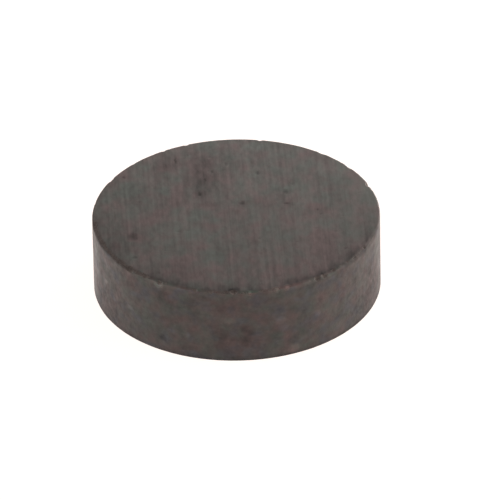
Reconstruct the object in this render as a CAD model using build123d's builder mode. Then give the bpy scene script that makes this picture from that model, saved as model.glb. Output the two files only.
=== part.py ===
from build123d import *
from math import cos, radians, sin, sqrt
import os

# A disc magnet of sintered ferrite: one plain round tablet, pressed, fired and ground flat on both faces.
# It lies on its lower pole face, with the origin at the centre of that face and the magnet's axis along Z.

# Driving dimensions, in millimetres
diameter = 18.0
thickness = 5.0
arris_width = 0.05  # both rims have a fine broken edge

# The largest bites out of the upper rim: along the rim, in across the face and down the wall
chip_width = 1.2
chip_face_bite = 0.4
chip_wall_bite = 0.4

# Each chip in the upper rim: its bearing in degrees, from +X towards +Y, and then its width,
# face bite and wall bite as shares of the largest ones
rim_chip_shares = [
    # right-hand side and back
    (5.5, 1.00, 0.14, 0.25),
    (18.4, 0.70, 0.20, 0.30),
    (21.4, 0.60, 0.45, 0.50),
    (37.0, 0.45, 0.30, 0.40),
    (38.8, 0.65, 0.17, 0.30),
    (45.0, 0.40, 0.14, 0.18),
    (52.5, 0.70, 0.24, 0.22),
    (80.0, 0.42, 0.30, 0.22),
    (110.0, 0.40, 0.30, 0.22),
    (120.5, 0.45, 0.24, 0.22),
    (126.0, 0.65, 0.18, 0.18),
    (135.5, 0.42, 0.20, 0.18),
    (146.8, 0.55, 0.16, 0.22),
    (150.5, 0.95, 0.22, 0.38),
    (168.5, 0.75, 0.18, 0.20),
    # left-hand run, chip beside chip
    (186.5, 0.60, 0.45, 0.20),
    (190.5, 0.55, 0.60, 0.20),
    (194.5, 0.60, 0.65, 0.22),
    (199.0, 0.55, 0.55, 0.20),
    (203.0, 0.50, 0.40, 0.20),
    (206.5, 0.55, 0.55, 0.28),
    (211.0, 0.55, 0.60, 0.25),
    (215.0, 0.60, 0.75, 0.30),
    (218.5, 0.45, 0.60, 0.40),
    (221.8, 0.55, 0.80, 0.60),
    (225.5, 0.40, 0.50, 0.25),
    (230.2, 0.45, 0.50, 0.25),
    # front
    (237.3, 0.50, 0.60, 0.50),
    (241.8, 0.40, 0.60, 0.20),
    (246.3, 0.55, 0.55, 0.22),
    (250.3, 0.40, 0.50, 0.20),
    (257.0, 0.30, 0.20, 0.15),
    (265.6, 0.35, 0.70, 0.25),
    (268.7, 0.42, 1.00, 0.35),
    (285.9, 0.30, 0.50, 0.20),
    (289.6, 0.32, 0.45, 0.22),
    # right-hand run, chip beside chip
    (300.8, 0.45, 0.55, 0.30),
    (307.3, 0.50, 0.50, 0.60),
    (312.2, 0.60, 0.75, 0.25),
    (317.0, 0.50, 0.60, 0.20),
    (320.5, 0.50, 0.65, 0.22),
    (325.0, 0.45, 0.40, 0.20),
    (328.8, 0.60, 0.60, 0.25),
    (333.0, 0.45, 0.35, 0.20),
    (337.0, 0.55, 0.40, 0.22),
    (342.0, 0.55, 0.30, 0.18),
]

radius = diameter / 2


def chip_ball(bearing, width, face_bite, wall_bite):
    """Place the ball that shapes one chip, and give its radius.

    Ferrite is brittle and breaks in shells, so the floor of a chip is part of a ball. The ball passes through
    the chip's two ends on the rim, its inmost point on the face and its lowest point on the wall.
    """
    reach = width / 2
    outward = (reach**2 - face_bite**2) / (2 * face_bite)
    upward = (reach**2 - wall_bite**2) / (2 * wall_bite)
    ball_radius = sqrt(reach**2 + outward**2 + upward**2)
    away = Vector(cos(radians(bearing)), sin(radians(bearing)), 0)
    along_rim = Vector(-sin(radians(bearing)), cos(radians(bearing)), 0)
    centre = away * (radius + outward) + Vector(0, 0, thickness + upward)
    return Plane(origin=centre, x_dir=away, z_dir=along_rim), ball_radius


with BuildPart() as magnet_disc:
    with BuildSketch(Plane.XZ) as half_section:
        Rectangle(radius, thickness, align=(Align.MIN, Align.MIN))
        rim_corners = half_section.vertices().group_by(Axis.X)[-1]
        chamfer(rim_corners, arris_width)
    revolve(axis=Axis.Z)
    for bearing, width_share, face_share, wall_share in rim_chip_shares:
        ball_plane, ball_radius = chip_ball(
            bearing,
            width_share * chip_width,
            face_share * chip_face_bite,
            wall_share * chip_wall_bite,
        )
        with Locations(ball_plane):
            Sphere(ball_radius, mode=Mode.SUBTRACT)
magnet_disc.part.label = "magnet_disc"

os.makedirs("parts", exist_ok=True)
export_step(magnet_disc.part, "parts/magnet_disc.step")
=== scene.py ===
import math
import random

import bpy
import numpy as np
from mathutils import Matrix, Vector, noise


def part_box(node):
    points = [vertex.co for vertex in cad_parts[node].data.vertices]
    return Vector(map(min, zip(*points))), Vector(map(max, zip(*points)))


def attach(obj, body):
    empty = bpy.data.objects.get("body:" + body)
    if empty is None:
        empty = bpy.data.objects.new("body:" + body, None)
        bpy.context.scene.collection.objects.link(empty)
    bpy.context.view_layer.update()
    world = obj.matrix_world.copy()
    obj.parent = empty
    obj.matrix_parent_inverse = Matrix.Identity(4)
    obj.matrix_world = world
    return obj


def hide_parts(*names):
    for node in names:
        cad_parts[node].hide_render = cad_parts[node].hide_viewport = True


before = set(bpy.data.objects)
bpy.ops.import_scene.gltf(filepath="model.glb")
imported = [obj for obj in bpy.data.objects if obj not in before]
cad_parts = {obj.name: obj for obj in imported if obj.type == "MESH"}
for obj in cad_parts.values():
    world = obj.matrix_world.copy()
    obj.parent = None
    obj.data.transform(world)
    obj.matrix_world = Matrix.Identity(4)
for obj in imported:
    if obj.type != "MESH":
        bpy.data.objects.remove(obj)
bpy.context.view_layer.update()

# Lengths are in millimetres unless a name says otherwise, and the finished meshes are in metres
MM = 0.001
node_low, node_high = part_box("magnet_disc")
radius = (node_high.x - node_low.x) / 2 / MM
thickness = (node_high.z - node_low.z) / MM

# Fineness of the mesh
columns = 760  # points round the rim
face_cells = columns // 4  # cells across the upper face's grid
under_cells = columns // 8  # cells across the lower face's grid
rim_band = 0.75  # the finer band inside the upper rim, and down the wall from it
under_band = 0.35  # the same inside the lower rim
band_step = 0.05
wall_step = 0.125
arris_radius = 0.05
arris_steps = 2
under_steps = 3

# The largest bites out of the upper rim: along the rim, in across the face and down the wall
chip_width = 1.2
chip_face_bite = 0.4
chip_wall_bite = 0.4

# Each chip in the upper rim: its bearing in degrees, from +X towards +Y, and then its width,
# face bite and wall bite as shares of the largest ones
rim_chip_shares = [
    # right-hand side and back
    (5.5, 1.00, 0.14, 0.25),
    (18.4, 0.70, 0.20, 0.30),
    (21.4, 0.60, 0.45, 0.50),
    (37.0, 0.45, 0.30, 0.40),
    (38.8, 0.65, 0.17, 0.30),
    (45.0, 0.40, 0.14, 0.18),
    (52.5, 0.70, 0.24, 0.22),
    (80.0, 0.42, 0.30, 0.22),
    (110.0, 0.40, 0.30, 0.22),
    (120.5, 0.45, 0.24, 0.22),
    (126.0, 0.65, 0.18, 0.18),
    (135.5, 0.42, 0.20, 0.18),
    (146.8, 0.55, 0.16, 0.22),
    (150.5, 0.95, 0.22, 0.38),
    (168.5, 0.75, 0.18, 0.20),
    # left-hand run, chip beside chip
    (186.5, 0.60, 0.45, 0.20),
    (190.5, 0.55, 0.60, 0.20),
    (194.5, 0.60, 0.65, 0.22),
    (199.0, 0.55, 0.55, 0.20),
    (203.0, 0.50, 0.40, 0.20),
    (206.5, 0.55, 0.55, 0.28),
    (211.0, 0.55, 0.60, 0.25),
    (215.0, 0.60, 0.75, 0.30),
    (218.5, 0.45, 0.60, 0.40),
    (221.8, 0.55, 0.80, 0.60),
    (225.5, 0.40, 0.50, 0.25),
    (230.2, 0.45, 0.50, 0.25),
    # front
    (237.3, 0.50, 0.60, 0.50),
    (241.8, 0.40, 0.60, 0.20),
    (246.3, 0.55, 0.55, 0.22),
    (250.3, 0.40, 0.50, 0.20),
    (257.0, 0.30, 0.20, 0.15),
    (265.6, 0.35, 0.70, 0.25),
    (268.7, 0.42, 1.00, 0.35),
    (285.9, 0.30, 0.50, 0.20),
    (289.6, 0.32, 0.45, 0.22),
    # right-hand run, chip beside chip
    (300.8, 0.45, 0.55, 0.30),
    (307.3, 0.50, 0.50, 0.60),
    (312.2, 0.60, 0.75, 0.25),
    (317.0, 0.50, 0.60, 0.20),
    (320.5, 0.50, 0.65, 0.22),
    (325.0, 0.45, 0.40, 0.20),
    (328.8, 0.60, 0.60, 0.25),
    (333.0, 0.45, 0.35, 0.20),
    (337.0, 0.55, 0.40, 0.22),
    (342.0, 0.55, 0.30, 0.18),
]
chip_raggedness_share = 0.35  # how far a chip's edge wanders, as a share of its smaller bite
chip_wander_share = 0.3  # how long those wanderings are, as a share of the chip's width
break_grain = 0.012  # height of the grain on a broken surface
break_grain_size = (0.16, 0.16, 0.16)
break_fade = 0.012  # depth over which a surface goes from unbroken to broken
broken_enough = 0.7  # a face of the mesh that is broken more than this takes the broken finish

# Rounding of the upper rim: what it has all round, and runs that are worn more, each with its bearings
# from and to, its radius, and how much paler its rounding is painted, or below 0 how much darker:
# painted light where the rounding faces away from the lamps, and painted shade on the right, where
# the nibbles catch the strong light from that side
least_rounding = 0.07
wear_and_painted_light_runs = [
    (182, 238, 0.20, 0.0),
    (224, 312, 0.30, 0.55),
    (298, 352, 0.30, -0.12),
]
wear_and_painted_light_fade = 10.0  # degrees over which a run dies out at its ends
rounding_wander = 0.3  # how far the rounding varies along the rim, as a share of itself
rounding_wander_size = (0.6, 0.6, 0.6)

# Nibbles between the chips, in runs along the upper rim: bearings from and to, how many,
# and the least and most of their widths, face bites and wall bites
nibble_seed = 4
nibble_runs = [
    (184, 232, 90, (0.45, 0.90), (0.14, 0.32), (0.05, 0.11)),
    (232, 304, 14, (0.30, 0.60), (0.12, 0.26), (0.08, 0.18)),
    (304, 346, 14, (0.30, 0.60), (0.10, 0.22), (0.07, 0.13)),
    (-14, 184, 90, (0.15, 0.45), (0.03, 0.07), (0.02, 0.055)),
]

# Bands that darken the upper face towards the rim round its front half: bearings from and to, width,
# darkness, and how far in from the rim the band stops. The wide bands are painted shade, carrying the
# face's fall-off in light on towards the front rim; the narrow ones draw a dark line just inside the rim
band_edge_fade = 0.22  # width over which a band comes in, inside the part of the rim that it leaves bare
to_the_rim = -band_edge_fade
rim_shades = [
    (176, 240, 0.60, 0.10, to_the_rim),
    (170, 246, 2.20, 0.22, to_the_rim),
    (226, 310, 1.10, 0.52, 0.14),
    (236, 304, 2.60, 0.22, 0.14),
    (296, 344, 0.80, 0.85, 0.08),
    (282, 356, 2.60, 0.30, 0.14),
    (234, 260, 0.90, 0.15, 0.14),
    (322, 352, 0.35, 0.45, to_the_rim),
    (300, 340, 0.90, 0.15, 0.02),
]
rim_shade_fade = 9.0  # degrees over which a band dies out at its ends

# Pits in the upper face: centre, half length across and along the grinding, and depth
pits = [
    (3.13, 2.60, 0.18, 0.36, 0.016),
    (1.40, 4.89, 0.15, 0.30, 0.016),
    (-0.57, 6.00, 0.13, 0.30, 0.012),
    (0.40, 1.38, 0.20, 0.30, 0.014),
    (-2.26, 2.48, 0.13, 0.30, 0.014),
    (-1.90, 4.19, 0.12, 0.25, 0.010),
    (-1.45, 5.13, 0.10, 0.25, 0.008),
    (-3.78, 6.43, 0.10, 0.40, 0.010),
    (5.10, 0.44, 0.12, 0.18, 0.012),
    (5.28, -0.04, 0.10, 0.15, 0.011),
    (3.17, 1.24, 0.20, 0.14, 0.008),
    (-7.02, 4.65, 0.12, 0.20, 0.010),
    (-6.40, -2.30, 0.40, 0.55, 0.004),
    (6.76, -4.09, 0.12, 0.18, 0.008),
    (-6.30, -4.70, 0.16, 0.20, 0.010),
]
# pits and pores are painted darker in their hollows: painted shade
pit_darkness = 0.5
pore_seed = 7
pore_count = 60
pore_sizes = (0.05, 0.10)  # least and most half length across the grinding
pore_stretches = (1, 2)  # least and most half length along the grinding, as shares of that across it
pore_depth_share = 0.12  # a pore's depth as a share of its half length across the grinding
pore_darkness = 0.15

# Stains on the upper face, with painted light and shade among them: centre, half length across and
# along the grinding, and darkness, which is below 0 where the face is paler
stains_and_painted_light = [
    (-1.9, 4.7, 1.4, 2.7, 0.45),
    (-2.2, 2.4, 0.5, 0.8, 0.30),
    (-4.4, 5.9, 1.3, 1.8, 0.30),
    (-6.4, -2.3, 0.7, 0.9, 0.18),
    (-7.2, -3.6, 1.0, 2.0, 0.22),
    (5.3, -2.9, 1.1, 1.0, 0.25),
    (5.2, 0.4, 0.8, 0.7, 0.22),
    (3.2, 1.2, 0.6, 0.4, 0.16),
    (3.05, 1.95, 0.4, 0.5, 0.22),
    (0.5, 1.3, 0.6, 0.5, 0.20),
    (-1.5, 1.4, 0.9, 0.5, 0.14),
    (-3.8, 6.3, 0.5, 1.2, 0.18),
    (5.4, -5.0, 1.5, 1.6, 0.12),
    (0.2, -6.6, 2.0, 1.6, 0.05),
    (3.5, 6.5, 2.5, 1.5, -0.12),
    # the next four are painted light, paler towards the back rim where its edge catches the light
    (6.3, 5.3, 1.6, 1.5, -0.36),
    (8.0, 3.0, 0.8, 1.1, -0.28),
    (8.5, 0.3, 0.5, 1.0, -0.22),
    (1.4, 8.0, 1.0, 0.7, -0.24),
    (-4.1, -5.8, 1.0, 0.9, 0.15),
    (-2.3, -6.6, 0.9, 0.8, 0.15),
    # painted light along the back rim
    (-5.05, 6.6, 0.8, 0.8, -0.30),
    (-3.7, 4.3, 0.9, 1.0, 0.20),
    (-3.9, 1.3, 0.7, 1.0, 0.20),
    (2.2, -6.1, 0.7, 0.8, 0.34),
    # the next two are painted shade in the notch at the front of the rim; the three after are paler
    # spots at chips
    (-0.17, -8.64, 0.42, 0.36, 1.40),
    (-0.72, -8.88, 0.22, 0.24, 1.20),
    (0.77, -8.88, 0.18, 0.18, -1.50),
    (2.43, -8.52, 0.20, 0.20, -2.80),
    (3.06, -8.31, 0.22, 0.18, -2.40),
]
patchiness_mean = 0.7  # stains and rim bands are uneven: the mean of their strength, and how far it swings
patchiness_swing = 0.5
patchiness_size = (0.35, 0.9, 1.0)

# Reddish (above 0) and greenish (below 0) patches on the upper face: centre, half lengths and strength
warm_patches = [
    (-2.2, 5.4, 1.3, 2.4, 0.50),
    (-4.2, 6.2, 0.9, 1.3, 0.45),
    (-7.0, 4.7, 0.7, 0.9, 0.50),
    (-3.6, 2.2, 0.7, 1.5, 0.50),
    (-2.3, 2.5, 0.5, 1.0, 0.50),
    (-5.2, 0.0, 1.2, 1.1, 0.45),
    (-0.6, 0.4, 1.2, 1.1, 0.40),
    (-2.0, 1.0, 1.1, 0.6, 0.40),
    (-6.4, -2.2, 0.7, 0.8, 0.60),
    (5.4, -3.0, 1.2, 1.3, 0.80),
    (5.4, -5.1, 1.5, 1.7, 0.50),
    (-2.4, -3.4, 0.8, 0.8, 0.40),
    (-3.2, -6.2, 2.4, 1.7, 0.50),
    (0.2, -6.4, 2.0, 1.4, 0.15),
    (3.4, -7.0, 2.0, 1.5, 0.45),
    (2.2, 1.4, 0.6, 0.5, 0.40),
    (5.0, 0.8, 0.8, 0.5, 0.45),
    (-6.6, 3.2, 1.3, 1.3, -0.40),
    (-3.4, -1.4, 0.8, 2.0, -0.50),
    (-2.4, -0.2, 0.8, 1.0, -0.45),
    (-4.4, -3.4, 0.8, 0.8, -0.40),
    (-1.6, -4.8, 1.0, 1.3, -0.45),
    (2.6, -2.4, 1.6, 1.4, -0.35),
    (6.4, 1.6, 1.2, 1.6, -0.40),
    (3.6, 4.6, 2.4, 2.4, -0.30),
    (7.2, -1.2, 1.0, 1.6, -0.30),
    (-6.1, 4.3, 1.0, 1.2, -0.50),
    (-6.2, 1.3, 0.9, 1.2, -0.50),
    (-8.1, 2.8, 0.8, 1.3, -0.45),
    (-4.3, 2.9, 0.6, 0.7, -0.60),
    (8.4, 1.5, 0.7, 1.5, -0.45),
    (6.6, 3.2, 1.1, 1.2, -0.40),
    (1.6, 8.0, 1.4, 0.8, -0.45),
    (4.4, 1.9, 0.8, 1.0, -0.40),
    (4.3, -2.1, 0.6, 0.6, -0.60),
    (-0.8, -3.4, 0.8, 0.8, -0.55),
    (5.3, -6.4, 1.1, 1.0, 0.50),
    (3.0, -8.3, 1.2, 0.6, 0.40),
    (4.5, -0.6, 0.7, 0.7, 0.60),
    (7.6, -4.0, 0.6, 0.8, 0.60),
]
spot_wander = 0.06  # how far the edges of pits, pores, stains and patches wander
spot_wander_size = (0.2, 0.2, 0.2)

# Marks on the wall: bearing in degrees, height, half width, half height, and then darkness and redness,
# which are below 0 where the wall is paler and where it is greener
wall_marks = [
    (190.0, 2.60, 1.00, 2.40, -0.10, 0.20),
    # painted shade low on the left: the floor's shadow seen in the wall's sheen
    (204.0, 0.60, 2.40, 2.20, 0.44, 0.45),
    (210.0, 3.60, 0.60, 1.50, 0.20, 0.00),
    (322.0, 0.50, 0.90, 0.80, 0.28, 0.00),
    (341.0, 3.90, 0.60, 0.90, 0.18, 0.00),
    # painted shade low on the right: the floor's shadow seen in the wall's sheen
    (337.0, 1.30, 2.40, 2.60, 0.35, 0.35),
    (205.0, 2.70, 0.30, 0.16, -0.70, 0.00),
    (213.1, 2.36, 0.24, 0.18, -0.40, 0.00),
    (222.2, 2.17, 0.30, 0.18, -0.60, 0.00),
    (224.0, 4.00, 0.80, 0.70, 0.00, 0.40),
    (230.0, 2.00, 1.60, 1.60, -0.05, -0.40),
    # painted light on the lower slope of the chip above, which faces up and out
    (237.3, 4.80, 0.40, 0.22, -1.20, -0.20),
    (274.9, 4.92, 0.18, 0.14, -0.50, 0.20),
    (285.9, 4.92, 0.18, 0.16, -1.20, 0.00),
    (290.1, 4.92, 0.18, 0.16, -0.80, 0.10),
    (237.6, 4.05, 0.50, 0.42, 0.30, -0.30),
    (238.8, 0.96, 0.30, 0.28, 0.65, -0.20),
    (249.5, 1.62, 0.30, 0.26, -0.45, 0.00),
    (250.5, 3.50, 1.00, 0.90, 0.10, -0.40),
    (264.0, 1.90, 0.60, 0.50, 0.28, 0.50),
    (266.7, 2.94, 0.45, 0.26, -0.50, 0.00),
    (271.9, 2.75, 0.28, 0.22, -0.40, 0.00),
    (267.0, 0.95, 1.20, 0.90, 0.20, 0.60),
    (260.0, 0.60, 0.90, 0.70, 0.00, -0.60),
    (266.0, 3.90, 1.50, 0.90, 0.05, 0.40),
    (274.0, 2.35, 0.50, 0.55, 0.20, 0.50),
    (275.0, 1.50, 0.80, 0.70, 0.28, 0.60),
    (286.0, 1.55, 0.55, 0.55, 0.15, -0.40),
    (286.7, 2.70, 0.50, 0.30, -0.45, 0.20),
    (292.5, 0.45, 0.55, 0.38, -0.75, 0.00),
    (296.0, 3.20, 1.20, 1.00, 0.00, -0.05),
    (303.0, 4.90, 1.30, 0.30, 0.28, 0.00),
    (221.8, 4.85, 0.26, 0.20, -0.40, 0.00),
    (305.6, 4.93, 0.25, 0.20, 0.45, 0.00),
    (303.5, 2.42, 0.30, 0.24, -0.40, 0.00),
    (304.6, 3.39, 0.20, 0.22, 0.40, 0.00),
    (307.0, 2.80, 1.40, 1.60, -0.12, 0.15),
    (207.0, 4.95, 2.40, 0.34, 0.28, 0.00),
    (328.0, 4.95, 1.60, 0.28, 0.20, 0.00),
    (318.0, 3.60, 1.20, 0.90, -0.05, 0.30),
    (256.0, 4.30, 1.20, 0.40, 0.10, 0.20),
    (280.0, 4.20, 1.30, 0.45, 0.15, 0.30),
]
mark_wander = 0.10  # how far the edges of the marks wander
mark_wander_size = (0.22, 0.22, 0.22)
# The wall's foot is darker: grime, and painted shade where the wall meets the floor
foot_height = 0.35  # the foot of the wall is dark, fading out up to here
foot_darkness = 0.5

# Relief of the unbroken surfaces: height, and length of its features
groove_height = 0.0035
groove_size = (0.24, 12.0, 1.0)
groove_lean = math.radians(2.6)  # the grinding runs along Y, leaning this much to the left
wall_wave_height = 0.012
wall_wave_size = (1.6, 1.6, 1.2)
wall_grain_height = 0.010
wall_grain_size = (0.34, 0.34, 0.30)

# Seeds of the smooth noise, one for each use; a chip's edge takes the chip's bearing instead
groove_seed = 1
spot_x_seed = 2
spot_y_seed = 3
patchiness_seed = 5
wall_wave_seed = 11
wall_grain_seed = 12
mark_seed = 13
break_grain_seed = 21
rounding_seed = 31
seed_step = np.array([17.3, 5.9, 11.1])  # how far apart two seeds lie in the noise

# The map that the finish is baked on: its width and its margins in pixels, and in pixels to a millimetre
# the scale of the upper face and the wall, and that of the lower face
map_pixels = 1024
map_margin = 8
map_scale = 34
map_under_scale = 20

# Zones of the surface, and the finishes in the order in which the magnet's mesh lists them
upper_zone = 0
wall_zone = 1
lower_zone = 2
ground_finish = 0
fired_finish = 1
broken_finish = 2

up_axis = np.array([0.0, 0.0, 1.0])


def disc_grid(cells, reach):
    """A square grid pulled out to a disc: its points, quads, and boundary loop from -45 degrees."""
    steps = np.linspace(-1, 1, cells + 1)
    across, along = np.meshgrid(steps, steps, indexing="ij")
    wide = np.abs(across) > np.abs(along)
    major = np.where(wide, across, along)
    minor = np.where(wide, along, across)
    turn = math.pi / 4 * minor / np.where(major == 0, 1, major)
    angle = np.where(wide, turn, math.pi / 2 - turn)
    points = reach * np.stack([major * np.cos(angle), major * np.sin(angle)], axis=-1).reshape(-1, 2)
    index = np.arange((cells + 1) ** 2).reshape(cells + 1, cells + 1)
    corners = [index[:-1, :-1], index[1:, :-1], index[1:, 1:], index[:-1, 1:]]
    quads = np.stack(corners, axis=-1).reshape(-1, 4)
    loop = np.concatenate([index[-1, :-1], index[:0:-1, -1], index[0, :0:-1], index[:-1, 0]])
    return points, quads, loop


def rim_profile():
    """The rings from the upper face's band over the rim, down the wall and under, as radius and height.

    The numbers of the last ring of the upper face and of the last ring of the wall follow.
    """
    inset = radius - arris_radius
    top_radii = np.arange(radius - rim_band + band_step, inset - band_step / 2, band_step)
    top = [(r, thickness) for r in top_radii]
    over = []
    for bend in np.radians(np.linspace(90, 0, arris_steps + 1)):
        drop = arris_radius * (1 - math.sin(bend))
        over.append((inset + arris_radius * math.cos(bend), thickness - drop))
    near_rim = np.arange(thickness - arris_radius - band_step, thickness - rim_band, -band_step)
    lower_wall = np.arange(near_rim[-1] - wall_step, arris_radius + wall_step / 2, -wall_step)
    wall = [(radius, z) for z in np.concatenate([near_rim, lower_wall])]
    under = [(r, thickness - z) for r, z in reversed(over)]
    beneath = [(r, 0.0) for r in np.linspace(inset, radius - under_band, under_steps + 1)[1:]]
    last_upper = len(top) + arris_steps // 2
    last_wall = len(top) + len(over) + len(wall) + arris_steps // 2
    return top + over + wall + under + beneath, last_upper, last_wall


def build_blank():
    """The unbroken disc: its points, its faces and the zone of each face."""
    inner, quads, loop = disc_grid(face_cells, radius - rim_band)
    points = [np.column_stack([inner, np.full(len(inner), thickness)])]
    faces = quads.tolist()
    zones = [upper_zone] * len(quads)
    bearings = -math.pi / 4 + 2 * math.pi * np.arange(columns) / columns
    profile, last_upper, last_wall = rim_profile()
    last = loop
    count = len(inner)
    for number, (ring_radius, height) in enumerate(profile):
        x = ring_radius * np.cos(bearings)
        y = ring_radius * np.sin(bearings)
        points.append(np.column_stack([x, y, np.full(columns, height)]))
        here = np.arange(count, count + columns)
        faces += np.stack([last, here, np.roll(here, -1), np.roll(last, -1)], axis=-1).tolist()
        if number <= last_upper:
            zone = upper_zone
        elif number <= last_wall:
            zone = wall_zone
        else:
            zone = lower_zone
        zones += [zone] * columns
        last = here
        count += columns
    # The lower face's grid has half as many points round it, so three triangles join each of its steps
    under, quads, loop = disc_grid(under_cells, radius - under_band - band_step)
    points.append(np.column_stack([under, np.zeros(len(under))]))
    coarse = loop + count
    coarse_next = np.roll(coarse, -1)
    fine = last[0::2]
    middle = last[1::2]
    fine_next = np.roll(fine, -1)
    joining = [
        np.column_stack([fine, coarse, middle]),
        np.column_stack([middle, coarse, coarse_next]),
        np.column_stack([middle, coarse_next, fine_next]),
    ]
    faces += np.concatenate(joining).tolist() + (quads[:, ::-1] + count).tolist()
    zones += [lower_zone] * (len(joining) * len(coarse) + len(quads))
    return np.concatenate(points), faces, np.array(zones)


def ripple(points, size, seed):
    """Smooth noise from about -1 to 1 at each point, with features of that size along X, Y and Z."""
    places = points / np.array(size) + seed * seed_step
    return np.array([noise.noise(Vector(place)) for place in places])


def raised_ripple(points, size, seed):
    """The same noise, raised to go from about 0 to 1."""
    return 0.5 + 0.5 * ripple(points, size, seed)


def axis_distance(points):
    """How far each point is from the magnet's axis."""
    return np.hypot(points[:, 0], points[:, 1])


def bearing_of(points):
    """Each point's bearing about the axis, in degrees from +X towards +Y."""
    return np.degrees(np.arctan2(points[:, 1], points[:, 0])) % 360


def outwards(points):
    """The level direction from the axis through each point."""
    return points * np.array([1.0, 1.0, 0.0]) / axis_distance(points)[:, None]


def on_run(bearing, first, last, fade):
    """1 between the first bearing and the last, falling to 0 at both over that many degrees."""
    return np.clip(np.minimum(bearing - first, last - bearing) / fade, 0, 1)


def by_grinding(x, y):
    """Lengths along X and Y turned into lengths across and along the grinding."""
    across = x * math.cos(groove_lean) + y * math.sin(groove_lean)
    along = y * math.cos(groove_lean) - x * math.sin(groove_lean)
    return across, along


def break_out(points, broken, bearing, width, face_bite, wall_bite):
    """Move the points inside a chip's ball onto the chip's floor, and note how broken they are."""
    reach = width / 2
    outward = (reach**2 - face_bite**2) / (2 * face_bite)
    upward = (reach**2 - wall_bite**2) / (2 * wall_bite)
    ball = math.sqrt(reach**2 + outward**2 + upward**2)
    away = np.array([math.cos(math.radians(bearing)), math.sin(math.radians(bearing)), 0.0])
    centre = away * (radius + outward) + up_axis * (thickness + upward)
    inward = -(away + up_axis) / math.sqrt(2)
    ragged = chip_raggedness_share * min(face_bite, wall_bite)
    near = np.flatnonzero(((points - centre) ** 2).sum(axis=1) < (ball + ragged) ** 2)
    size = chip_wander_share * width
    reached = ball + ragged * ripple(points[near], (size, size, size), bearing)
    offset = points[near] - centre
    room = reached**2 - (offset**2).sum(axis=1)
    inside = room > 0
    near = near[inside]
    travelled = offset[inside] @ inward
    travel = np.sqrt(travelled**2 + room[inside]) - travelled
    points[near] += travel[:, None] * inward
    broken[near] = np.maximum(broken[near], np.minimum(travel / break_fade, 1))


def sunk(points, spot):
    """How deep each point lies in an oval spot on a face, from 1 at its centre to 0 at its edge."""
    x, y, half_across, half_along = spot
    across, along = by_grinding(points[:, 0] - x, points[:, 1] - y)
    return np.clip(1 - (across / half_across) ** 2 - (along / half_along) ** 2, 0, 1)


def scatter_pores():
    """Pores all over the upper face: centre, half length across and along the grinding, and depth."""
    draw = random.Random(pore_seed)
    pores = []
    for _ in range(pore_count):
        distance = (radius - rim_band) * math.sqrt(draw.random())
        turn = draw.uniform(0, 2 * math.pi)
        size = draw.uniform(*pore_sizes)
        length = size * draw.uniform(*pore_stretches)
        centre = (distance * math.cos(turn), distance * math.sin(turn))
        pores.append((*centre, size, length, pore_depth_share * size))
    return pores


def shade_rim(shade, place, patchiness):
    """Darken the upper face's points in bands along the rim, the wide ones as painted shade."""
    inset = radius - axis_distance(place)
    bearing = bearing_of(place)
    for first, last, width, darkness, bare_width in rim_shades:
        ends = on_run(bearing, first, last, rim_shade_fade)
        inner = np.clip((inset - bare_width) / band_edge_fade, 0, 1)
        shade += darkness * np.clip(1 - inset / width, 0, 1) * inner * ends * patchiness


def shape_upper_face(points, blank, dark, warm):
    """Grind and pit the upper face, and note how dark and how reddish each of its points is."""
    on_face = np.flatnonzero(blank[:, 2] > thickness - arris_radius)
    place = blank[on_face]
    leaning = np.column_stack([*by_grinding(place[:, 0], place[:, 1]), place[:, 2]])
    wander = place.copy()
    wander[:, 0] += spot_wander * ripple(place, spot_wander_size, spot_x_seed)
    wander[:, 1] += spot_wander * ripple(place, spot_wander_size, spot_y_seed)
    depth = groove_height * (1 + ripple(leaning, groove_size, groove_seed))
    shade = np.zeros(len(place))
    # pits and pores are painted darker in their hollows: painted shade
    for hollows, darkness in ((pits, pit_darkness), (scatter_pores(), pore_darkness)):
        for *spot, hollow_depth in hollows:
            hollow = sunk(wander, spot)
            depth += hollow_depth * hollow
            shade = np.maximum(shade, darkness * hollow)
    patchiness = patchiness_mean + patchiness_swing * ripple(leaning, patchiness_size, patchiness_seed)
    for *spot, darkness in stains_and_painted_light:
        shade += darkness * sunk(wander, spot) * patchiness
    shade_rim(shade, place, patchiness)
    points[on_face, 2] -= depth
    dark[on_face] += shade
    for *spot, redness in warm_patches:
        warm[on_face] += redness * sunk(wander, spot)


def shape_wall(points, blank, dark, warm):
    """Roughen the fired wall, inwards only, and note how dark and how reddish each of its points is."""
    on_wall = np.flatnonzero(axis_distance(blank) > radius - arris_radius / 2)
    place = blank[on_wall]
    depth = wall_wave_height * raised_ripple(place, wall_wave_size, wall_wave_seed)
    depth += wall_grain_height * raised_ripple(place, wall_grain_size, wall_grain_seed)
    points[on_wall] -= depth[:, None] * outwards(place)
    bearing = bearing_of(place)
    wander = mark_wander * ripple(place, mark_wander_size, mark_seed)
    # grime, and painted shade where the wall meets the floor
    dark[on_wall] += foot_darkness * np.clip(1 - (place[:, 2] + wander) / foot_height, 0, 1)
    for mark_bearing, height, half_width, half_height, darkness, redness in wall_marks:
        u = (radius * np.radians(bearing - mark_bearing) + wander) / half_width
        v = (place[:, 2] - height - wander) / half_height
        strength = np.clip(1 - u**2 - v**2, 0, 1)
        dark[on_wall] += darkness * strength
        warm[on_wall] += redness * strength


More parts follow.
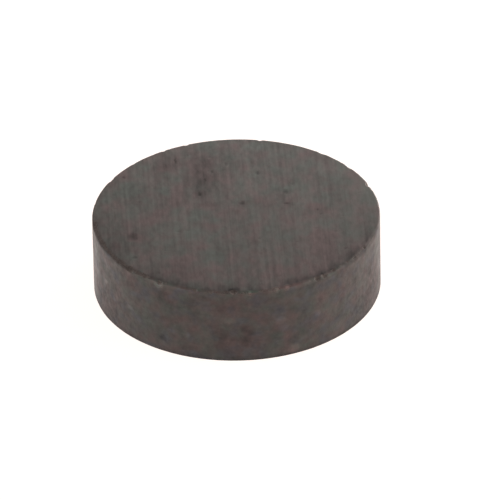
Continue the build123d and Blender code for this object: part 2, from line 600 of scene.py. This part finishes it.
def round_rim(points, blank, dark):
    """Wrap the upper rim's corner round an arc, larger where it is worn, and paint light or shade on it.
    """
    inset = radius - axis_distance(blank)
    drop = thickness - blank[:, 2]
    near = np.flatnonzero((inset < rim_band) & (drop < rim_band))
    place = blank[near]
    away = outwards(place)
    bearing = bearing_of(place)
    rounding = np.full(len(near), least_rounding)
    pale = np.zeros(len(near))
    for first, last, worn, paleness in wear_and_painted_light_runs:
        ends = on_run(bearing, first, last, wear_and_painted_light_fade)
        rounding = np.maximum(rounding, worn * ends)
        pale += paleness * ends
    rounding *= 1 + rounding_wander * ripple(radius * away, rounding_wander_size, rounding_seed)
    over = (drop - inset)[near] / rounding  # from -1 on the face to 1 on the wall
    turn = math.pi / 4 * (1 + np.clip(over, -1, 1))
    inwards = rounding * (1 - np.sin(turn)) - inset[near]
    down = rounding * (1 - np.cos(turn)) - drop[near]
    move = -inwards[:, None] * away - down[:, None] * up_axis
    points[near] += np.where(np.abs(over) < 1, 1, 0)[:, None] * move
    # painted light and shade on the rounding: paler where it faces away from the lamps, darker on the
    # right
    dark[near] -= pale * np.clip(1 - over**2, 0, 1)


def break_rim(points):
    """Chip and nibble the upper rim. Returns how broken each point is, from 0 to 1."""
    broken = np.zeros(len(points))
    for bearing, width, face_bite, wall_bite in rim_chip_shares:
        sizes = (width * chip_width, face_bite * chip_face_bite, wall_bite * chip_wall_bite)
        break_out(points, broken, bearing, *sizes)
    draw = random.Random(nibble_seed)
    for first, last, count, widths, face_bites, wall_bites in nibble_runs:
        for _ in range(count):
            bearing = draw.uniform(first, last)
            sizes = (draw.uniform(*widths), draw.uniform(*face_bites), draw.uniform(*wall_bites))
            break_out(points, broken, bearing, *sizes)
    rows = np.flatnonzero(broken)
    place = points[rows]
    grain = raised_ripple(place, break_grain_size, break_grain_seed)
    inward = -(outwards(place) + up_axis) / math.sqrt(2)
    points[rows] += (break_grain * broken[rows] * grain)[:, None] * inward
    return broken


def lay_out_map(mesh, blank, zones):
    """Unfold the disc for baking: the upper face, the lower face, and the wall as two strips."""
    corners = np.zeros(len(mesh.loops), dtype=np.int32)
    mesh.loops.foreach_get("vertex_index", corners)
    sides = np.zeros(len(mesh.polygons), dtype=np.int32)
    mesh.polygons.foreach_get("loop_total", sides)
    starts = np.concatenate([[0], np.cumsum(sides)[:-1]])
    place = blank[corners]
    middle = np.add.reduceat(place, starts) / sides[:, None]
    middle_bearing = np.repeat(bearing_of(middle), sides)
    zone = np.repeat(zones, sides)
    # The two faces, each with its share of the rim spread out flat round it
    distance = axis_distance(place)
    upper = place[:, 2] > thickness / 2
    fall = np.where(upper, thickness - place[:, 2], place[:, 2])
    spread = 1 + fall / np.maximum(distance, arris_radius)
    reach = radius + 2 * arris_radius
    disc_width = 2 * map_scale * reach
    scale = np.where(zone == upper_zone, map_scale, map_under_scale)
    low = np.where(zone == upper_zone, map_margin, 2 * map_margin + disc_width)
    u = low + scale * (reach + spread * place[:, 0])
    v = map_margin + scale * (reach + spread * place[:, 1])
    # The wall, its back half in one strip and its front half in the next
    turn = (bearing_of(place) - middle_bearing + 180) % 360 - 180
    front = middle_bearing > 180
    along = np.radians(middle_bearing + turn - 180 * front) * radius
    down = thickness - place[:, 2] + np.where(upper, distance - radius, radius - distance) + arris_radius
    strip_height = map_scale * (thickness + 2 * arris_radius) + map_margin
    on_wall = zone == wall_zone
    u[on_wall] = map_margin + map_scale * along[on_wall]
    v[on_wall] = 2 * map_margin + disc_width + (strip_height * front + map_scale * down)[on_wall]
    layer = mesh.uv_layers.new(name="OFBake")
    layer.uv.foreach_set("vector", (np.column_stack([u, v]) / map_pixels).astype(np.float32).ravel())


def build_magnet():
    blank, faces, zones = build_blank()
    points = blank.copy()
    dark = np.zeros(len(points))
    warm = np.zeros(len(points))
    shape_upper_face(points, blank, dark, warm)
    shape_wall(points, blank, dark, warm)
    round_rim(points, blank, dark)
    broken = break_rim(points)
    mesh = bpy.data.meshes.new("ferrite_disc")
    mesh.from_pydata((points * MM).tolist(), [], faces)
    mesh.polygons.foreach_set("use_smooth", [True] * len(faces))
    # the "dark" attribute holds stains and grime, and painted light and shade
    for name, values in (("broken", broken), ("dark", dark), ("warm", warm)):
        attribute = mesh.attributes.new(name, "FLOAT", "POINT")
        attribute.data.foreach_set("value", values.astype(np.float32))
    finishes = np.where(zones == wall_zone, fired_finish, ground_finish)
    finishes[[broken[face].mean() > broken_enough for face in faces]] = broken_finish
    mesh.polygons.foreach_set("material_index", finishes.astype(np.int32))
    lay_out_map(mesh, blank, zones)
    mesh.update()
    piece = bpy.data.objects.new("ferrite_disc", mesh)
    bpy.context.scene.collection.objects.link(piece)
    return piece


class Graph:
    """The nodes of a material or of the world, added one after another."""

    def __init__(self, tree):
        self.nodes = tree.nodes
        self.links = tree.links

    def add(self, kind, **inputs):
        node = self.nodes.new(kind)
        for name, value in inputs.items():
            self.put(node.inputs[name], value)
        return node

    def put(self, socket, value):
        if isinstance(value, bpy.types.NodeSocket):
            self.links.new(value, socket)
        else:
            socket.default_value = value

    def coordinate(self, name):
        return self.add("ShaderNodeTexCoord").outputs[name]

    def noise(self, size, detail=2.0, rough=0.5, turn=0.0, shift=0.0):
        """Noise from 0 to 1 whose features are size millimetres long along X, Y and Z."""
        turned = self.add("ShaderNodeVectorRotate", Vector=self.coordinate("Object"), Angle=-turn)
        placing = {"Scale": [1 / (s * MM) for s in size], "Location": [shift] * 3}
        spread = self.add("ShaderNodeMapping", Vector=turned.outputs[0], **placing)
        settings = {"Scale": 1.0, "Detail": detail, "Roughness": rough}
        return self.add("ShaderNodeTexNoise", Vector=spread.outputs[0], **settings).outputs["Fac"]

    def math(self, operation, first, second=0.0):
        node = self.nodes.new("ShaderNodeMath")
        node.operation = operation
        self.put(node.inputs[0], first)
        self.put(node.inputs[1], second)
        return node.outputs[0]

    def vector(self, operation, *values):
        node = self.nodes.new("ShaderNodeVectorMath")
        node.operation = operation
        for socket, value in zip(node.inputs, values):
            self.put(socket, value)
        return node.outputs

    def swing(self, value, amount):
        """A noise value turned into one that swings about 0 by amount."""
        return self.math("MULTIPLY", self.math("SUBTRACT", value, 0.5), 2 * amount)

    def total(self, *values):
        result = values[0]
        for value in values[1:]:
            result = self.math("ADD", result, value)
        return result

    def ramp(self, value, low, high):
        """Value spread from low..high to 0..1, and held there outside."""
        node = self.add("ShaderNodeMapRange", Value=value)
        node.inputs["From Min"].default_value = low
        node.inputs["From Max"].default_value = high
        return node.outputs[0]

    def blend(self, share, first, second):
        """A blend of two colours, from the first at a share of 0 to the second at 1."""
        node = self.nodes.new("ShaderNodeMix")
        node.data_type = "RGBA"
        first_color = 6  # a Mix node has other sockets of the same names, for numbers and vectors
        second_color = 7
        blended_color = 2
        self.put(node.inputs["Factor"], share)
        self.put(node.inputs[first_color], first)
        self.put(node.inputs[second_color], second)
        return node.outputs[blended_color]

    def scaled(self, color, amount):
        node = self.nodes.new("ShaderNodeVectorMath")
        node.operation = "SCALE"
        self.put(node.inputs[0], color)
        self.put(node.inputs["Scale"], amount)
        return node.outputs[0]

    def attribute(self, name, amount=1.0):
        node = self.nodes.new("ShaderNodeAttribute")
        node.attribute_name = name
        return self.math("MULTIPLY", node.outputs["Fac"], amount)

    def bump(self, height, distance):
        """A bump of that height in millimetres where height goes from 0 to 1."""
        node = self.add("ShaderNodeBump", Height=height, Strength=1.0, Distance=distance * MM)
        return node.outputs[0]


def new_material(name):
    """An empty material, its graph and its shader."""
    material = bpy.data.materials.new(name)
    material.use_nodes = True
    return material, Graph(material.node_tree), material.node_tree.nodes["Principled BSDF"]


# The finishes: colours, roughness, height of the relief, and strength of the sheen
ground_green = (0.029, 0.040, 0.034, 1)
ground_red = (0.049, 0.031, 0.031, 1)
ground_roughness = 0.47
ground_relief = 0.008
ground_sheen = 0.5
fired_green = (0.043, 0.049, 0.043, 1)
fired_red = (0.064, 0.042, 0.041, 1)
fired_blue = (0.043, 0.044, 0.054, 1)
fired_roughness = 0.45
fired_relief = 0.02
fired_sheen = 0.42
break_dark = (0.056, 0.047, 0.044, 1)
break_pale = (0.145, 0.127, 0.116, 1)
break_roughness = 0.75
break_relief = 0.02
break_sheen = 0.25

# From what value to what value of its noise a colour comes in
red_range = (0.3, 0.7)
blue_range = (0.5, 0.75)
pale_grain_range = (0.35, 1.15)


def tinted(graph, tint, green, red):
    """A colour from green to red, by that noise and by how reddish each point is."""
    redness = graph.total(graph.ramp(tint, *red_range), graph.attribute("warm"))
    return graph.blend(redness, green, red)


def broken_color(graph):
    """Broken ferrite's own colour: dark, with paler grains."""
    grains = graph.noise((0.10, 0.10, 0.10), detail=3.0, rough=0.6)
    # darker by the mesh's stains, and by painted light and shade
    light = graph.math("SUBTRACT", graph.ramp(grains, *pale_grain_range), graph.attribute("dark", 0.4))
    return graph.blend(light, break_dark, break_pale)


def with_breaks(graph, color):
    """That colour where the surface is whole, and broken ferrite's own where it is broken."""
    return graph.blend(graph.attribute("broken"), color, broken_color(graph))


def finish_shader(graph, shader, color, rough, relief, sheen):
    """Connect the colour, roughness and relief of a finish to its shader, and set its sheen."""
    graph.put(shader.inputs["Base Color"], color)
    graph.put(shader.inputs["Roughness"], rough)
    graph.put(shader.inputs["Normal"], relief)
    shader.inputs["Specular IOR Level"].default_value = sheen


def ground_ferrite():
    """The ground faces: fine straight marks all one way over faintly mottled grey."""
    material, graph, shader = new_material("ground_ferrite")
    streaks = graph.noise((0.26, 13.0, 1.0), detail=2.0, rough=0.5, turn=groove_lean)
    hairlines = graph.noise((0.10, 5.0, 1.0), detail=1.0, turn=groove_lean, shift=9.4)
    bands = graph.noise((0.9, 14.0, 1.0), detail=2.0, turn=groove_lean, shift=3.1)
    specks = graph.noise((0.26, 0.62, 0.3), detail=3.0, rough=0.55, turn=groove_lean, shift=7.7)
    clouds = graph.noise((2.0, 2.8, 2.4), detail=3.0, shift=1.3)
    tint = graph.noise((0.9, 1.3, 1.0), detail=3.0, rough=0.5, shift=5.2)
    value = graph.total(
        1.0,
        graph.swing(streaks, 0.44),
        graph.swing(hairlines, 0.15),
        graph.swing(bands, 0.25),
        graph.swing(specks, 0.52),
        graph.swing(clouds, 0.35),
        # darker by the mesh's stains, and by painted light and shade
        graph.attribute("dark", -1.0),
    )
    rough = graph.total(
        ground_roughness,
        graph.swing(streaks, -0.07),
        graph.swing(specks, -0.12),
        graph.swing(clouds, -0.06),
        graph.attribute("dark", 0.3),
    )
    height = graph.total(
        graph.math("MULTIPLY", streaks, 0.4),
        graph.math("MULTIPLY", hairlines, 0.3),
        graph.math("MULTIPLY", specks, 0.3),
    )
    color = graph.scaled(tinted(graph, tint, ground_green, ground_red), value)
    relief = graph.bump(height, ground_relief)
    finish_shader(graph, shader, with_breaks(graph, color), rough, relief, ground_sheen)
    return material


def fired_ferrite():
    """The wall, left as it was fired: granular, mottled and scuffed."""
    material, graph, shader = new_material("fired_ferrite")
    grain = graph.noise((0.34, 0.34, 0.34), detail=3.0, rough=0.5)
    specks = graph.noise((0.16, 0.16, 0.16), detail=3.0, rough=0.6, shift=4.4)
    clouds = graph.noise((1.2, 1.2, 1.0), detail=3.0, shift=2.2)
    tint = graph.noise((0.9, 0.9, 0.8), detail=3.0, rough=0.5, shift=6.1)
    cool = graph.noise((1.0, 1.0, 0.8), detail=2.0, rough=0.45, shift=8.3)
    value = graph.total(
        1.0,
        graph.swing(grain, 0.42),
        graph.swing(specks, 0.22),
        graph.swing(clouds, 0.5),
        # darker by the mesh's stains and grime, and by painted light and shade
        graph.attribute("dark", -1.0),
    )
    rough = graph.total(
        fired_roughness,
        graph.swing(clouds, -0.10),
        graph.swing(grain, -0.14),
        graph.attribute("dark", 0.2),
    )
    height = graph.total(
        graph.math("MULTIPLY", grain, 0.7),
        graph.math("MULTIPLY", specks, 0.3),
    )
    color = tinted(graph, tint, fired_green, fired_red)
    color = graph.blend(graph.ramp(cool, *blue_range), color, fired_blue)
    color = graph.scaled(color, value)
    relief = graph.bump(height, fired_relief)
    finish_shader(graph, shader, with_breaks(graph, color), rough, relief, fired_sheen)
    return material


def broken_ferrite():
    """Where the rim has chipped: dull, dark and granular."""
    material, graph, shader = new_material("broken_ferrite")
    grains = graph.noise((0.08, 0.08, 0.08), detail=3.0, rough=0.6, shift=2.9)
    rough = graph.total(break_roughness, graph.swing(grains, 0.15))
    relief = graph.bump(grains, break_relief)
    finish_shader(graph, shader, broken_color(graph), rough, relief, break_sheen)
    return material


# The floor's paper, and how much of what is seen of it is plain white;
# the rest takes the magnet's shadow
floor_size = 6000.0
floor_drop = 0.01  # the floor lies this far under the lower face, so that the two don't share a plane
floor_color = (0.95, 0.92, 0.87, 1)
floor_roughness = 0.9
floor_glow = (1.30, 1.18, 1.13, 1)
floor_white_share = 0.8

# The studio: faint light from all round, a large soft light low on each side, and two small ones close
# behind. A glow has its bearing and elevation in degrees and its colour, and a lamp its place, watts and
# colour. A higher focus makes the glows narrower.
ambient = (0.44, 0.37, 0.36)
glow_focus = 4.0
glows = [
    (180, 12, (1.62, 1.62, 1.52)),
    (0, 12, (2.75, 2.60, 2.40)),
]
lamp_size = 25.0
lamps = [
    ((0, 50, 18), 0.0031, (1.06, 1.03, 0.98)),
    ((30, 42, 18), 0.0105, (1.18, 0.98, 0.94)),
]


def add_floor():
    half = floor_size / 2 * MM
    height = -floor_drop * MM
    corners = [(x, y, height) for x, y in ((-half, -half), (half, -half), (half, half), (-half, half))]
    mesh = bpy.data.meshes.new("floor")
    mesh.from_pydata(corners, [], [(0, 1, 2, 3)])
    floor = bpy.data.objects.new("floor", mesh)
    bpy.context.scene.collection.objects.link(floor)
    material, graph, shader = new_material("white_paper")
    shader.inputs["Base Color"].default_value = floor_color
    shader.inputs["Roughness"].default_value = floor_roughness
    path = graph.add("ShaderNodeLightPath")
    seen_by = ("Is Camera Ray", "Is Glossy Ray", "Is Transmission Ray")
    direct = graph.total(*[path.outputs[ray] for ray in seen_by])
    share = graph.math("MULTIPLY", graph.math("MINIMUM", direct, 1.0), floor_white_share)
    glow = graph.add("ShaderNodeEmission", Color=floor_glow)
    mix = graph.add("ShaderNodeMixShader", Fac=share)
    graph.put(mix.inputs[1], shader.outputs[0])
    graph.put(mix.inputs[2], glow.outputs[0])
    graph.put(graph.nodes["Material Output"].inputs["Surface"], mix.outputs[0])
    mesh.materials.append(material)


def add_world():
    world = bpy.data.worlds.new("studio")
    world.use_nodes = True
    graph = Graph(world.node_tree)
    direction = graph.coordinate("Generated")
    light = ambient
    for bearing, elevation, color in glows:
        turn = math.radians(bearing)
        tilt = math.radians(elevation)
        towards = (math.cos(tilt) * math.cos(turn), math.cos(tilt) * math.sin(turn), math.sin(tilt))
        facing = graph.vector("DOT_PRODUCT", direction, towards)["Value"]
        spread = graph.math("POWER", graph.math("MAXIMUM", facing, 0.0), glow_focus)
        light = graph.vector("MULTIPLY_ADD", spread, color, light)["Vector"]
    graph.put(graph.nodes["Background"].inputs["Color"], light)
    bpy.context.scene.world = world


def add_lamps():
    for number, (place, watts, color) in enumerate(lamps):
        data = bpy.data.lights.new(f"softbox_{number}", "AREA")
        data.shape = "SQUARE"
        data.size = lamp_size * MM
        data.energy = watts
        data.color = color
        lamp = bpy.data.objects.new(f"softbox_{number}", data)
        lamp.location = Vector(place) * MM
        aim = Vector((0, 0, thickness / 2)) - Vector(place)
        lamp.rotation_mode = "QUATERNION"
        lamp.rotation_quaternion = aim.to_track_quat("-Z", "Y")
        lamp.visible_camera = False
        bpy.context.scene.collection.objects.link(lamp)


# The photograph's view: the camera looks along +Y, down on the disc from a long way off
view_elevation = 32.6  # degrees
view_roll = 1.11  # degrees
view_distance = 540.0
nearest_seen = 50.0
furthest_seen = 20000.0
pixels_per_radius = 143.8
disc_pixel = (236.7, 248.7)  # where the disc's middle is, from the image's upper left corner
image_pixels = 500
sensor_width = 36.0


def add_camera():
    data = bpy.data.cameras.new("camera")
    camera = bpy.data.objects.new("camera", data)
    bpy.context.scene.collection.objects.link(camera)
    pixel = radius / pixels_per_radius
    data.sensor_width = sensor_width
    data.lens = sensor_width * view_distance / (image_pixels * pixel)
    data.clip_start = nearest_seen * MM
    data.clip_end = furthest_seen * MM
    tilt = math.radians(view_elevation)
    roll = math.radians(view_roll)
    back = Vector((0, -math.cos(tilt), math.sin(tilt)))
    flat_right = Vector((1, 0, 0))
    flat_up = Vector((0, math.sin(tilt), math.cos(tilt)))
    right = math.cos(roll) * flat_right - math.sin(roll) * flat_up
    up = math.sin(roll) * flat_right + math.cos(roll) * flat_up
    middle = Vector((0, 0, thickness / 2))
    off_centre = (image_pixels / 2 - disc_pixel[0]) * right - (image_pixels / 2 - disc_pixel[1]) * up
    aim = middle + pixel * off_centre
    place = Matrix((right, up, back)).transposed().to_4x4()
    place.translation = (aim + back * view_distance) * MM
    camera.matrix_world = place
    bpy.context.scene.camera = camera


magnet = build_magnet()
for finish in (ground_ferrite(), fired_ferrite(), broken_ferrite()):
    magnet.data.materials.append(finish)
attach(magnet, "root")
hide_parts("magnet_disc")
add_floor()
add_world()
add_lamps()
add_camera()
bpy.context.scene.view_settings.view_transform = "Standard"
